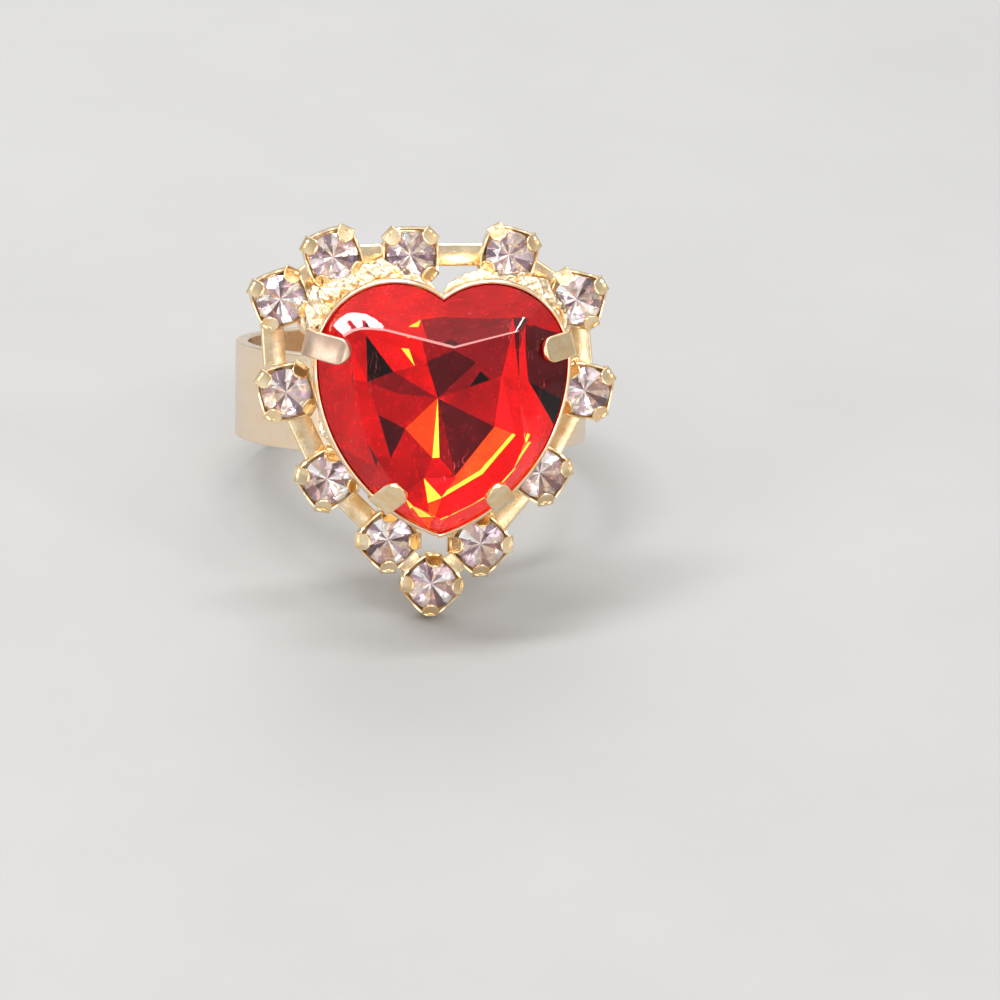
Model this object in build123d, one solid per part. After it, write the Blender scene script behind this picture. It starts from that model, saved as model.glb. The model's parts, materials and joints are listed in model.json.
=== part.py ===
"""Heart ring: a split band, a heart-shaped claw setting with its faceted stone, and a chain of
small claw cups with round stones that follows the heart's outline. Millimetres.

The ring is drawn with X across the heart, Y up the heart and Z out of its face. The finger's
axis lies along Y, with the middle of the band on the origin. It is then leant back about X
until it rests on the tip cup and on the two ends of the split band, with Z up.
"""

from build123d import *
import os
from math import atan2, cos, degrees, hypot, pi, radians, sin, sqrt, tan

# Small gap between pieces that are fitted together
piece_gap = 0.05

# Band
finger_bore_diameter = 16.9
band_thickness = 0.65
band_width = 4.9
band_edge_radius = 0.12
band_split = 2.4
band_end_radius = 1.2
band_below_heart = 0.45
pad_rise = 0.25
pad_length = 5.2
pad_width = 3.4
pad_corner_radius = 0.8

# Heart stone, measured at its girdle. lobe_spread: how far a lobe's centre lies from the
# middle, as a share of the lobe's radius
heart_width = 12.1
heart_height = 12.1
lobe_spread = 0.635
heart_crown_height = 1.45
heart_girdle_height = 0.25
heart_pavilion_depth = 3.0
lobe_facets = 14
side_facets = 8

# Heart setting
setting_floor = 0.35
setting_wall = 0.25
setting_taper = 1.0
culet_room = 0.3
heart_claw_width = 1.3
heart_claw_thickness = 0.3
heart_claw_reach = 1.15
heart_claw_root_depth = 2.4
heart_claw_spring = 4.0

# Round stones and their cups. round_stone_share: a round stone's diameter as a share of the
# heart's width
round_stone_share = 0.1984
round_crown_height = 0.42
round_girdle_height = 0.08
round_pavilion_depth = 0.85
round_facets = 8
cup_wall = 0.12
cup_floor = 0.2
cup_claw_width = 0.66
cup_claw_thickness = 0.16
cup_claw_proud = 0.06
cup_claw_reach = 0.36
cup_claw_slope = 42.0
cup_above_setting_base = 0.8

# Strips that link the cups
link_width = 1.15
link_thickness = 0.22
link_above_cup_base = 0.5
tip_link_length = 0.22

# The heart table's corners, right half from the notch to the tip.
# across: share of the half width, up: share of the half height.
TABLE_CORNERS = [
    {"across": 0.0, "up": 0.53},
    {"across": 0.53, "up": 0.69},
    {"across": 0.67, "up": 0.61},
    {"across": 0.60, "up": -0.14},
    {"across": 0.32, "up": -0.50},
    {"across": 0.0, "up": -0.71},
]

# The ring of cut corners between girdle and culet, right half from the notch to the tip.
# across and up as above, deep: share of the pavilion's depth.
PAVILION_CORNERS = [
    {"across": 0.0, "up": 0.45, "deep": 0.50},
    {"across": 0.42, "up": 0.55, "deep": 0.55},
    {"across": 0.56, "up": 0.10, "deep": 0.55},
    {"across": 0.30, "up": -0.36, "deep": 0.55},
    {"across": 0.0, "up": -0.52, "deep": 0.50},
]
culet_up = 0.12

# Heart claws. side: -1 left, 1 right, along: share of the half outline from notch to tip.
HEART_CLAWS = [
    {"side": -1, "along": 0.400},
    {"side": 1, "along": 0.400},
    {"side": 1, "along": 0.830},
    {"side": -1, "along": 0.830},
]

# Cups in their order round the heart, clockwise from the upper left. The tip cup has no place
# in its row: it hangs from its two neighbours.
# side and along as above, stand_off: share of a cup's diameter between it and the girdle.
# roll: degrees that the strip to the next cup is turned about its own length.
CUPS = [
    {"side": -1, "along": 0.340, "stand_off": 0.36, "roll": 10},
    {"side": -1, "along": 0.232, "stand_off": 0.19, "roll": 8},
    {"side": -1, "along": 0.095, "stand_off": -0.01, "roll": 12},
    {"side": 1, "along": 0.173, "stand_off": 0.01, "roll": 14},
    {"side": 1, "along": 0.324, "stand_off": 0.09, "roll": 16},
    {"side": 1, "along": 0.504, "stand_off": 0.05, "roll": 22},
    {"side": 1, "along": 0.718, "stand_off": -0.06, "roll": 18},
    {"side": 1, "along": 0.919, "stand_off": 0.14, "roll": 6},
    {"roll": 6},
    {"side": -1, "along": 0.914, "stand_off": 0.08, "roll": 12},
    {"side": -1, "along": 0.723, "stand_off": -0.02, "roll": 4},
    {"side": -1, "along": 0.510, "stand_off": 0.05, "roll": 8},
]

# Heights and radii that follow from the sizes above
bore_radius = finger_bore_diameter / 2
band_outer = bore_radius + band_thickness
setting_base = band_outer + pad_rise
heart_girdle_low = setting_base + setting_floor + culet_room + heart_pavilion_depth
heart_girdle_top = heart_girdle_low + heart_girdle_height
heart_table = heart_girdle_top + heart_crown_height
stone_radius = round_stone_share * heart_width / 2
cup_outer = stone_radius + piece_gap + cup_wall
claw_outer = cup_outer + cup_claw_proud
cup_base = setting_base + cup_above_setting_base
round_girdle_low = cup_floor + piece_gap + round_pavilion_depth
round_girdle_top = round_girdle_low + round_girdle_height
round_table = round_girdle_top + round_crown_height

# The heart's outline: on each side a lobe arc that runs into a long side arc
lobe_radius = heart_width / 2 / (1 + lobe_spread)
lobe_x = heart_width / 2 - lobe_radius
lobe_y = heart_height / 2 - lobe_radius
side_drop = heart_height / 2 + lobe_y
side_radius = (side_drop**2 + (heart_width / 2) ** 2) / heart_width
side_x = heart_width / 2 - side_radius
lobe_sweep = atan2(sqrt(lobe_radius**2 - lobe_x**2), -lobe_x)
side_sweep = atan2(side_drop, -side_x)
lobe_length = lobe_radius * lobe_sweep
half_length = lobe_length + side_radius * side_sweep


def outline_point(side, along, out=0.0):
    """Point at a share of the half outline from notch to tip, and its outward angle."""
    run = along * half_length
    if run <= lobe_length:
        angle = lobe_sweep - run / lobe_radius
        x = lobe_x + (lobe_radius + out) * cos(angle)
        y = lobe_y + (lobe_radius + out) * sin(angle)
    else:
        angle = -(run - lobe_length) / side_radius
        x = side_x + (side_radius + out) * cos(angle)
        y = lobe_y + (side_radius + out) * sin(angle)
    if side < 0:
        angle = pi - angle
    return side * x, y, angle


def heart_face(out, height):
    """The heart's outline, grown by out, as a face of four arcs at one height."""
    lobe, long_side = lobe_radius + out, side_radius + out
    notch_angle = atan2(sqrt(lobe**2 - lobe_x**2), -lobe_x)
    tip_angle = -atan2(sqrt(long_side**2 - side_x**2), -side_x)

    def on_lobe(angle):
        return lobe_x + lobe * cos(angle), lobe_y + lobe * sin(angle)

    def on_side(angle):
        return side_x + long_side * cos(angle), lobe_y + long_side * sin(angle)

    right = [
        on_lobe(notch_angle),
        on_lobe(notch_angle / 2),
        on_lobe(0),
        on_side(tip_angle / 2),
        on_side(tip_angle),
    ]
    left = [(-x, y) for x, y in right]
    arcs = [
        ThreePointArc(*right[0:3]),
        ThreePointArc(*right[2:5]),
        ThreePointArc(*reversed(left[2:5])),
        ThreePointArc(*reversed(left[0:3])),
    ]
    return Pos(0, 0, height) * make_face(arcs)


def solid_from_faces(corner_lists):
    """A closed solid from flat faces, each given by its corners."""
    faces = [Face(Wire.make_polygon([Vector(*c) for c in corners])) for corners in corner_lists]
    return Solid(Shell(faces))


def both_halves(rows, xy):
    """Right half from notch to tip, then the left half back up, without its end points."""
    right = [xy(row, 1) for row in rows]
    left = [xy(row, -1) for row in rows[1:-1]]
    return right + left[::-1]


def fan_faces(outer, inner):
    """Triangles between two rings of corners that run the same way from the notch.

    Each step takes the next corner of the ring that lags behind, measured by its share of the
    whole turn round the heart."""

    def shares(ring):
        steps = [hypot(b[0] - a[0], b[1] - a[1]) for a, b in zip(ring, ring[1:] + ring[:1])]
        total, run, out = sum(steps), 0.0, []
        for step in steps:
            out.append(run / total)
            run += step
        return out + [1.0]

    outer_shares, inner_shares = shares(outer), shares(inner)
    i = j = 0
    faces = []
    while i < len(outer) or j < len(inner):
        a, b = outer[i % len(outer)], inner[j % len(inner)]
        next_outer = outer_shares[i + 1] if i < len(outer) else 2.0
        next_inner = inner_shares[j + 1] if j < len(inner) else 2.0
        outer_first = next_outer + outer_shares[i] <= next_inner + inner_shares[j]
        if i < len(outer) and (outer_first or j >= len(inner)):
            faces.append([a, outer[(i + 1) % len(outer)], b])
            i += 1
        else:
            faces.append([a, inner[(j + 1) % len(inner)], b])
            j += 1
    return faces


def make_heart_stone():
    """A heart cut: flat table, crown facets, girdle band, and a pavilion cut in two steps."""
    marks = [lobe_length / half_length * k / lobe_facets for k in range(lobe_facets)]
    marks += [
        1 - (1 - lobe_length / half_length) * k / side_facets for k in range(side_facets, -1, -1)
    ]
    right = [outline_point(1, m)[:2] for m in marks]
    left = [(-x, y) for x, y in right[1:-1]][::-1]
    girdle = right + left

    def table_xy(row, side):
        return side * row["across"] * heart_width / 2, row["up"] * heart_height / 2, heart_table

    def deep_xy(row, side):
        x, y, _ = table_xy(row, side)
        return x, y, heart_girdle_low - row["deep"] * heart_pavilion_depth

    table = both_halves(TABLE_CORNERS, table_xy)
    deep = both_halves(PAVILION_CORNERS, deep_xy)
    top = [(x, y, heart_girdle_top) for x, y in girdle]
    low = [(x, y, heart_girdle_low) for x, y in girdle]
    culet = (0, culet_up * heart_height / 2, heart_girdle_low - heart_pavilion_depth)
    n = len(girdle)
    faces = [table]
    faces += fan_faces(top, table)
    faces += [[top[k], top[(k + 1) % n], low[(k + 1) % n], low[k]] for k in range(n)]
    faces += fan_faces(low, deep)
    faces += [[deep[k], deep[(k + 1) % len(deep)], culet] for k in range(len(deep))]
    return solid_from_faces(faces)


def claw(low_in, high_in, root, edge_top, slope, reach, width, thickness):
    """A flat tab on the outside of a wall, bent over the stone's edge.

    X points outwards from the stone's edge at x = 0. The tab's inner face runs from x = low_in
    at the height root to x = high_in beside the edge. Its bent end lies piece_gap above a crown
    that rises inwards from edge_top at the given slope, and its tip is round."""
    rise = tan(radians(slope))
    lift = edge_top + piece_gap / cos(radians(slope))
    over = lift + thickness / cos(radians(slope))
    across = thickness * sin(radians(slope))
    up = thickness * cos(radians(slope))
    high_out = high_in + thickness
    profile = [
        (low_in, root),
        (high_in, lift - high_in * rise),
        (-reach, lift + reach * rise),
        (-reach + across, lift + reach * rise + up),
        (high_out, over - high_out * rise),
        (low_in + thickness, root),
    ]
    bent = extrude(Plane.XZ * make_face(Polyline(*profile, close=True)), width / 2, both=True)
    end = width / 2 - reach
    plan = Pos((end + high_out) / 2, 0) * Rectangle(high_out - end, width)
    plan += Pos(end, 0) * Circle(width / 2)
    return bent & extrude(plan, 2 * (over + reach * rise), both=True)


def make_band():
    """Flat band with soft edges, open at the back between two rounded ends, with a solder pad."""
    section = RectangleRounded(band_thickness, band_width, band_edge_radius)
    hoop = revolve(Pos(bore_radius + band_thickness / 2, 0) * section, Axis.Y)
    reach = band_split + 2 * band_end_radius
    end_length = 3 * band_end_radius
    gap = Rectangle(reach, 2 * band_width)
    for side in (-1, 1):
        end = RectangleRounded(end_length, band_width + 2 * piece_gap, band_end_radius)
        gap -= Pos(side * (band_split + end_length) / 2, 0) * end
    hoop -= extrude(gap, -2 * band_outer)
    pad = extrude(RectangleRounded(pad_length, pad_width, pad_corner_radius), setting_base)
    pad = Pos(0, 0, -piece_gap) * pad
    bore = Rot(90, 0, 0) * Cylinder(bore_radius + band_thickness / 2, 2 * band_width)
    return Pos(0, -band_below_heart, 0) * (hoop + (pad - bore))


def crown_run(x, y, angle):
    """Distance from a girdle point to the table's edge, straight in from the outline."""
    half = [
        (row["across"] * heart_width / 2, row["up"] * heart_height / 2) for row in TABLE_CORNERS
    ]
    corners = half + [(-a, b) for a, b in half[1:-1]][::-1]
    runs = []
    for (ax, ay), (bx, by) in zip(corners, corners[1:] + corners[:1]):
        ex, ey = bx - ax, by - ay
        turn = ex * sin(angle) - ey * cos(angle)
        if abs(turn) > 1e-9:
            run = ((ax - x) * ey - (ay - y) * ex) / turn
            share = ((x - ax) * sin(angle) - (y - ay) * cos(angle)) / turn
            if run > 0 and 0 <= share <= 1:
                runs.append(run)
    return min(runs)


def make_heart_setting():
    """Heart-shaped cup that widens upwards to a thin rim round the girdle, with its claws."""
    rim = piece_gap + setting_wall
    outer = loft([heart_face(rim - setting_taper, setting_base), heart_face(rim, heart_girdle_top)])
    lowest_seat = heart_girdle_low - piece_gap
    seat = heart_face(piece_gap, lowest_seat)
    room = loft([heart_face(piece_gap - setting_taper, setting_base + setting_floor), seat])
    room += extrude(seat, heart_girdle_top - lowest_seat)
    setting = outer
    root_taper = setting_taper * heart_claw_root_depth / (heart_girdle_top - setting_base)
    for row in HEART_CLAWS:
        x, y, angle = outline_point(row["side"], row["along"])
        tab = claw(
            rim - setting_wall / 2 - root_taper,
            rim - setting_wall / 2,
            heart_girdle_top - heart_claw_root_depth,
            heart_girdle_top,
            degrees(atan2(heart_crown_height, crown_run(x, y, angle))) + heart_claw_spring,
            heart_claw_reach,
            heart_claw_width,
            heart_claw_thickness,
        )
        setting += Pos(x, y, 0) * Rot(0, 0, degrees(angle)) * tab
    return setting - room


def make_round_stone():
    """A round cut: table, star, main and girdle facets over an eight-sided pavilion."""
    half = 180 / round_facets

    def ring(radius, height, turn, count=round_facets):
        step = 360 / count
        angles = [radians(turn + step * k) for k in range(count)]
        return [(radius * cos(a), radius * sin(a), height) for a in angles]

    table_radius = 0.56 * stone_radius
    star_radius = 0.76 * stone_radius
    star_height = round_table - 0.36 * round_crown_height
    table = ring(table_radius, round_table, 0)
    star = ring(star_radius, star_height, half)
    top = ring(stone_radius, round_girdle_top, 0, 2 * round_facets)
    low = ring(stone_radius, round_girdle_low, 0, 2 * round_facets)
    culet = (0, 0, round_girdle_low - round_pavilion_depth)
    faces = [table]
    for k in range(round_facets):
        after = (k + 1) % round_facets
        before = (k - 1) % round_facets
        main, mid, last = 2 * k, 2 * k + 1, (2 * k - 1) % (2 * round_facets)
        faces.append([table[k], star[k], table[after]])
        faces.append([table[k], star[before], top[main]])
        faces.append([table[k], top[main], star[k]])
        faces.append([top[main], top[mid], star[k]])
        faces.append([top[last], top[main], star[before]])
        faces.append([low[main], low[mid], culet])
        faces.append([low[last], low[main], culet])
    n = len(top)
    faces += [[top[k], top[(k + 1) % n], low[(k + 1) % n], low[k]] for k in range(n)]
    return solid_from_faces(faces)


def make_cup():
    """Round cup with a floor and four flat claws bent over its stone."""
    wall_top = round_girdle_low
    inner = cup_outer - cup_wall
    cup = Pos(0, 0, wall_top / 2) * Cylinder(cup_outer, wall_top)
    cup -= Pos(0, 0, cup_floor + wall_top / 2) * Cylinder(inner, wall_top)
    for quarter in range(4):
        tab = claw(
            claw_outer - stone_radius - cup_claw_thickness,
            claw_outer - stone_radius - cup_claw_thickness,
            0,
            round_girdle_top,
            cup_claw_slope,
            cup_claw_reach,
            cup_claw_width,
            cup_claw_thickness,
        )
        tab = Pos(stone_radius, 0, 0) * tab
        cup += Rot(0, 0, 90 * quarter) * (tab - Cylinder(inner, 2 * wall_top))
    return cup


def cup_centres():
    """Centres of the cups: on the heart's outline, with the tip cup hung from its neighbours,
    and the tip cup's place in the row of cups."""
    centres = []
    for row in CUPS:
        if "side" in row:
            out = cup_outer + row["stand_off"] * 2 * cup_outer
            centres.append(outline_point(row["side"], row["along"], out)[:2])
        else:
            centres.append(None)
    tip = centres.index(None)
    (ax, ay), (bx, by) = centres[tip - 1], centres[(tip + 1) % len(centres)]
    half = hypot(ax - bx, ay - by) / 2
    reach = max(2 * (claw_outer + piece_gap) + tip_link_length, half)
    centres[tip] = ((ax + bx) / 2, (ay + by) / 2 - sqrt(reach**2 - half**2))
    return centres, tip


def link_angle(centres, k):
    """Direction from one cup to the next."""
    (ax, ay), (bx, by) = centres[k], centres[(k + 1) % len(centres)]
    return degrees(atan2(by - ay, bx - ax))


def cup_turn(centres, k):
    """Turn that keeps a cup's claws clear of both of its strips: midway between the two."""
    first = (link_angle(centres, k) - 45) % 90
    second = (link_angle(centres, k - 1) + 180 - 45) % 90
    x = cos(radians(4 * first)) + cos(radians(4 * second))
    y = sin(radians(4 * first)) + sin(radians(4 * second))
    return degrees(atan2(y, x)) / 4


def make_link(centres, k):
    """Flat strip between two cups, a small gap from each."""
    (ax, ay), (bx, by) = centres[k], centres[(k + 1) % len(centres)]
    length = hypot(bx - ax, by - ay) - 2 * (claw_outer + piece_gap)
    strip = Rot(CUPS[k]["roll"], 0, 0) * Box(length, link_width, link_thickness)
    turned = Rot(0, 0, link_angle(centres, k)) * strip
    return Pos((ax + bx) / 2, (ay + by) / 2, cup_base + link_above_cup_base) * turned


def build_pieces():
    """All pieces as drawn, before the ring is laid down."""
    pieces = {
        "band": make_band(),
        "heart_setting": make_heart_setting(),
        "heart_stone": make_heart_stone(),
    }
    centres, _ = cup_centres()
    cup, stone = make_cup(), make_round_stone()
    for k, (x, y) in enumerate(centres):
        place = Pos(x, y, cup_base) * Rot(0, 0, cup_turn(centres, k))
        pieces[f"cup_{k + 1:02d}"] = place * cup
        pieces[f"round_stone_{k + 1:02d}"] = place * stone
        pieces[f"link_{k + 1:02d}"] = make_link(centres, k)
    return pieces


def lean_angle():
    """Lean at which the tip cup's claw and the split band's rear ends touch the floor together."""
    centres, tip = cup_centres()
    tip_y = centres[tip][1] - claw_outer
    end_cut = sqrt(band_end_radius**2 - (band_end_radius - piece_gap) ** 2)
    rear_x = band_split / 2 + band_end_radius - end_cut
    rear_y = -band_below_heart - band_width / 2
    rear_z = -sqrt((band_outer - band_edge_radius) ** 2 - rear_x**2)
    return degrees(atan2(rear_y - tip_y, cup_base - rear_z))


def lay_down(pieces):
    """Leans the ring back to its rest, face to -Y, and centres it on the floor."""
    laid = {name: Rot(90 - lean_angle(), 0, 0) * piece for name, piece in pieces.items()}
    boxes = [piece.bounding_box() for piece in laid.values()]
    low_x, high_x = min(b.min.X for b in boxes), max(b.max.X for b in boxes)
    low_y, high_y = min(b.min.Y for b in boxes), max(b.max.Y for b in boxes)
    low_z = min(b.min.Z for b in boxes)
    shift = Pos(-(low_x + high_x) / 2, -(low_y + high_y) / 2, -low_z)
    return {name: shift * piece for name, piece in laid.items()}, shift


os.makedirs("parts", exist_ok=True)
laid_pieces, floor_shift = lay_down(build_pieces())
for piece_name, piece in laid_pieces.items():
    export_step(piece, f"parts/{piece_name}.step")
bore_middle = (floor_shift * Rot(90 - lean_angle(), 0, 0) * Pos(0, -band_below_heart, 0)).position
print("lean", round(lean_angle(), 3), "bore middle", bore_middle)
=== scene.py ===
"""Looks of a heart ring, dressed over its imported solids.

The pieces are drawn in the ring's own frame, in millimetres: x across the heart, y up the heart
and z out of its face, with the heart's middle over x = y = 0 and the finger's axis along y.
to_row() carries them into the row frame, in metres.
"""

import json
import math

import bmesh
import bpy
import numpy as np
from mathutils import Matrix, Vector


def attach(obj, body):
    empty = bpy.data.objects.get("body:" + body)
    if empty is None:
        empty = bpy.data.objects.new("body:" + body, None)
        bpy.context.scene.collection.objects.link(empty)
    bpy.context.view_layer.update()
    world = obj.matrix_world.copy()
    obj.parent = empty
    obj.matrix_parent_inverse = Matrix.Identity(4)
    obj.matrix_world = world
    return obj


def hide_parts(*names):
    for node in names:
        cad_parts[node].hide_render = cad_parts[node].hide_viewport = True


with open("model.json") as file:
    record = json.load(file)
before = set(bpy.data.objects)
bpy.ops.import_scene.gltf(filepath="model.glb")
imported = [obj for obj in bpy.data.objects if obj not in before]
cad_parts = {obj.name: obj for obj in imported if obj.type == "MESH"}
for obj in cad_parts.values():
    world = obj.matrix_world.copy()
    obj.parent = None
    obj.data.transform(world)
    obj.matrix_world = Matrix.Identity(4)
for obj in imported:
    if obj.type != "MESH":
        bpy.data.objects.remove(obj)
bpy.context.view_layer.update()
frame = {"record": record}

MM = 0.001

# Points nearer to each other than this are one point, in metres
MERGE_WITHIN = 1e-9

# Sizes that the solids have, in millimetres
PIECE_GAP = 0.05
BORE_RADIUS = 8.45
BAND_THICKNESS = 0.65
BAND_WIDTH = 4.9
BAND_EDGE_RADIUS = 0.12
BAND_SPLIT = 2.4
BAND_END_RADIUS = 1.2
BAND_BELOW_HEART = 0.45
PAD_RISE = 0.25
PAD_LENGTH = 5.2
PAD_WIDTH = 3.4
PAD_CORNER_RADIUS = 0.8
HEART_WIDTH = 12.1
HEART_HEIGHT = 12.1
LOBE_SPREAD = 0.635
HEART_CROWN_HEIGHT = 1.45
HEART_GIRDLE_HEIGHT = 0.25
HEART_PAVILION_DEPTH = 3.0
SETTING_FLOOR = 0.35
SETTING_WALL = 0.25
SETTING_TAPER = 1.0
CULET_ROOM = 0.3
HEART_CLAW_WIDTH = 1.3
HEART_CLAW_ROOT_DEPTH = 2.4
ROUND_STONE_SHARE = 0.1984
ROUND_CROWN_HEIGHT = 0.42
ROUND_GIRDLE_HEIGHT = 0.08
ROUND_PAVILION_DEPTH = 0.85
CUP_WALL = 0.12
CUP_FLOOR = 0.2
CUP_CLAW_THICKNESS = 0.16
CUP_CLAW_PROUD = 0.06
CUP_CLAW_SLOPE = 42.0
CUP_ABOVE_SETTING_BASE = 0.8
LINK_WIDTH = 1.15
LINK_THICKNESS = 0.22
LINK_ABOVE_CUP_BASE = 0.5
TIP_LINK_LENGTH = 0.22

# Sizes of the dressed cups: the claws' width, their reach over the stone, how far they stand from
# the cup's middle and how much less they do on the tip cup, then half the wall's width, its power
# of squareness and the rise of its rim at the corners
CUP_CLAW_WIDTH = 0.82
CUP_CLAW_REACH = 0.26
CUP_CLAW_STAND = 1.70
TIP_CLAW_TUCK = 0.10
CUP_FLAT = 1.36
CUP_SQUARENESS = 3.4
CUP_RIM_RISE = 0.20

# The table's corners on each side of the heart, from the notch to the tip, in millimetres across
# and up, with the share of the half outline that each one faces
TABLE_RIGHT = np.array([
    [0.36, 3.17, 0.00],
    [3.48, 3.97, 0.27],
    [3.59, 0.66, 0.52],
    [3.88, -1.42, 0.64],
    [3.34, -2.70, 0.72],
    [2.38, -3.80, 0.80],
    [1.30, -4.48, 0.88],
    [0.45, -4.88, 0.95],
    [-0.20, -5.15, 1.00],
])
TABLE_LEFT = np.array([
    [0.36, 3.17, 0.00],
    [-1.31, 3.58, 0.11],
    [-3.05, 4.00, 0.20],
    [-3.63, 4.05, 0.235],
    [-4.21, 4.05, 0.27],
    [-4.60, 3.94, 0.30],
    [-5.00, 3.70, 0.33],
    [-4.72, 3.05, 0.37],
    [-4.58, 2.30, 0.43],
    [-4.32, 0.40, 0.54],
    [-3.75, -1.50, 0.65],
    [-2.60, -3.35, 0.79],
    [-1.55, -4.52, 0.90],
    [-0.20, -5.15, 1.00],
])

# The left star line: share of the half outline, share of the crown's run, and how far the crown
# takes the star's own slope up to that line. Then that slope in degrees, and the right star
# line's share of the crown's run.
STAR_LINE = np.array([
    [0.00, 0.45, 0.0],
    [0.16, 0.45, 0.0],
    [0.195, 0.10, 1.0],
    [0.22, 0.34, 1.0],
    [0.24, 0.48, 1.0],
    [0.28, 0.72, 1.0],
    [0.32, 0.84, 1.0],
    [0.345, 0.84, 1.0],
    [0.38, 0.50, 0.0],
    [1.00, 0.45, 0.0],
])
STAR_SLOPE = 42.0
PLAIN_STAR = 0.45

# The bevel round the table, in millimetres: its keen width, its worn width from the notch on, the
# share of the half outline where it stops being worn, both right and left, and the place that it
# is set in towards. The worn part is a worn edge whose pale face colour paints a highlight on it.
KEEN_BEVEL = 0.012
WORN_BEVEL = (0.05, 0.065)
WORN_HIGHLIT_END = (0.27, 0.335)
TABLE_MIDDLE = (-0.2, 0.2)

# Tones of the stone's cuts, painted reflections: each paints a bright, dark, orange or amber flash of
# light, with its share of painted glow
SCARLET = (1.00, 0.010, 0.014, 0.20)
CRIMSON = (0.72, 0.006, 0.012, 0.16)
GARNET = (0.50, 0.007, 0.014, 0.16)
RUBY = (0.36, 0.008, 0.016, 0.14)
MAROON = (0.11, 0.007, 0.014, 0.10)
BLACK_RED = (0.010, 0.002, 0.004, 0.0)
ORANGE = (1.00, 0.075, 0.010, 0.70)
AMBER = (1.00, 0.90, 0.06, 1.00)
PLAIN = (1.0, 1.0, 1.0, 0.0)

# Corners of the stone's cut back: millimetres across and up, and the share of the pavilion's
# depth. The culet, the inner ring and the middle ring clockwise from the notch, then the corners
# of the narrow cuts.
BACK_CORNERS = np.array([
    [0.00, 0.33, 1.00],
    [0.66, 2.77, 0.62],
    [1.82, 2.20, 0.66],
    [3.02, 1.52, 0.60],
    [2.69, -0.95, 0.509],
    [0.80, -3.41, 0.345],
    [0.03, -2.50, 0.649],
    [-0.31, -2.54, 0.669],
    [-1.66, -1.09, 0.66],
    [-1.95, 0.60, 0.68],
    [-2.29, 1.71, 0.62],
    [-0.65, 2.19, 0.68],
    [0.20, 4.05, 0.42],
    [3.50, 3.95, 0.38],
    [3.85, 1.30, 0.40],
    [3.70, -1.33, 0.410],
    [2.06, -3.22, 0.300],
    [0.08, -4.38, 0.283],
    [-0.58, -4.64, 0.300],
    [-0.76, -3.48, 0.462],
    [-2.40, -2.50, 0.44],
    [-3.05, -0.35, 0.45],
    [-3.60, 1.25, 0.42],
    [-3.70, 3.55, 0.40],
    [-1.10, 3.85, 0.44],
    [3.55, -1.26, 0.425],
    [1.96, -3.055, 0.325],
    [0.05, -4.20, 0.307],
    [-1.92, 2.86, 0.603],
    [-1.56, 2.84, 0.577],
    [-1.28, 2.02, 0.480],
    [1.51, 0.925, 0.800],
    [2.48, 1.307, 0.672],
    [2.00, 1.750, 0.681],
    [-1.68, 3.40, 0.515],
    [-1.22, 3.42, 0.500],
])
MIDDLE_RING = list(range(12, 25))

# The cuts of the back, each with its painted reflection tone
BACK_CUTS = [
    ((0, 1, 2), MAROON),
    ((0, 2, 33), RUBY),
    ((0, 33, 31), RUBY),
    ((31, 33, 32), BLACK_RED),
    ((33, 2, 3), RUBY),
    ((33, 3, 32), RUBY),
    ((4, 0, 31), GARNET),
    ((4, 31, 32), GARNET),
    ((4, 32, 3), GARNET),
    ((0, 4, 5), MAROON),
    ((0, 5, 6), RUBY),
    ((0, 6, 7), AMBER),
    ((0, 7, 8), ORANGE),
    ((0, 8, 9), CRIMSON),
    ((0, 9, 10), RUBY),
    ((0, 10, 11), CRIMSON),
    ((0, 11, 1), MAROON),
    ((1, 2, 3, 13, 12), RUBY),
    ((3, 4, 25, 15, 14, 13), SCARLET),
    ((4, 25, 26, 27, 5), ORANGE),
    ((15, 16, 26, 25), AMBER),
    ((16, 17, 27, 26), AMBER),
    ((5, 27, 17, 19, 7, 6), CRIMSON),
    ((17, 18, 19), AMBER),
    ((7, 8, 20, 19), CRIMSON),
    ((8, 21, 20), MAROON),
    ((8, 9, 22, 21), CRIMSON),
    ((9, 10, 22), RUBY),
    ((10, 23, 22), BLACK_RED),
    ((10, 28, 30), SCARLET),
    ((28, 29, 30), AMBER),
    ((30, 29, 11), SCARLET),
    ((10, 30, 11), CRIMSON),
    ((11, 29, 35, 24), SCARLET),
    ((23, 24, 34, 28), SCARLET),
    ((28, 34, 35, 29), SCARLET),
    ((34, 24, 35), AMBER),
    ((10, 23, 28), SCARLET),
    ((11, 1, 12, 24), RUBY),
]

# Solder beds that hold the chain to the heart's wall: side and height, then rows of the share of
# the half outline, the middle's distance out and the bead's radius
SOLDER_BEDS = [
    (-1, 11.30, [
        [0.015, 0.10, 0.16],
        [0.06, 0.20, 0.30],
        [0.16, 0.45, 0.50],
        [0.23, 0.35, 0.45],
        [0.29, 0.60, 0.66],
        [0.34, 0.50, 0.60],
        [0.385, 0.45, 0.40],
    ]),
    (1, 11.30, [
        [0.02, 0.10, 0.12],
        [0.08, 0.20, 0.26],
        [0.17, 0.20, 0.34],
        [0.25, 0.46, 0.50],
        [0.33, 0.40, 0.42],
        [0.375, 0.40, 0.30],
    ]),
    (-1, 11.20, [[0.575, 0.05, 0.14], [0.62, 0.14, 0.30], [0.67, 0.05, 0.14]]),
    (-1, 10.90, [[0.875, 0.00, 0.14], [0.925, 0.08, 0.34], [0.965, 0.02, 0.16]]),
    (1, 10.90, [[0.885, 0.00, 0.14], [0.93, 0.08, 0.34], [0.97, 0.02, 0.16]]),
]

# Heart claws: side, share of the half outline from the notch to the tip, how far the bend stands
# off the wall, the reach over the stone, the slope in degrees and the thickness
HEART_CLAWS = np.array([
    [-1, 0.390, 0.34, 1.28, 34, 0.50],
    [1, 0.388, 0.16, 1.22, 33, 0.30],
    [1, 0.826, 0.06, 1.02, 50, 0.30],
    [-1, 0.830, 0.06, 1.10, 50, 0.30],
])
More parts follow.
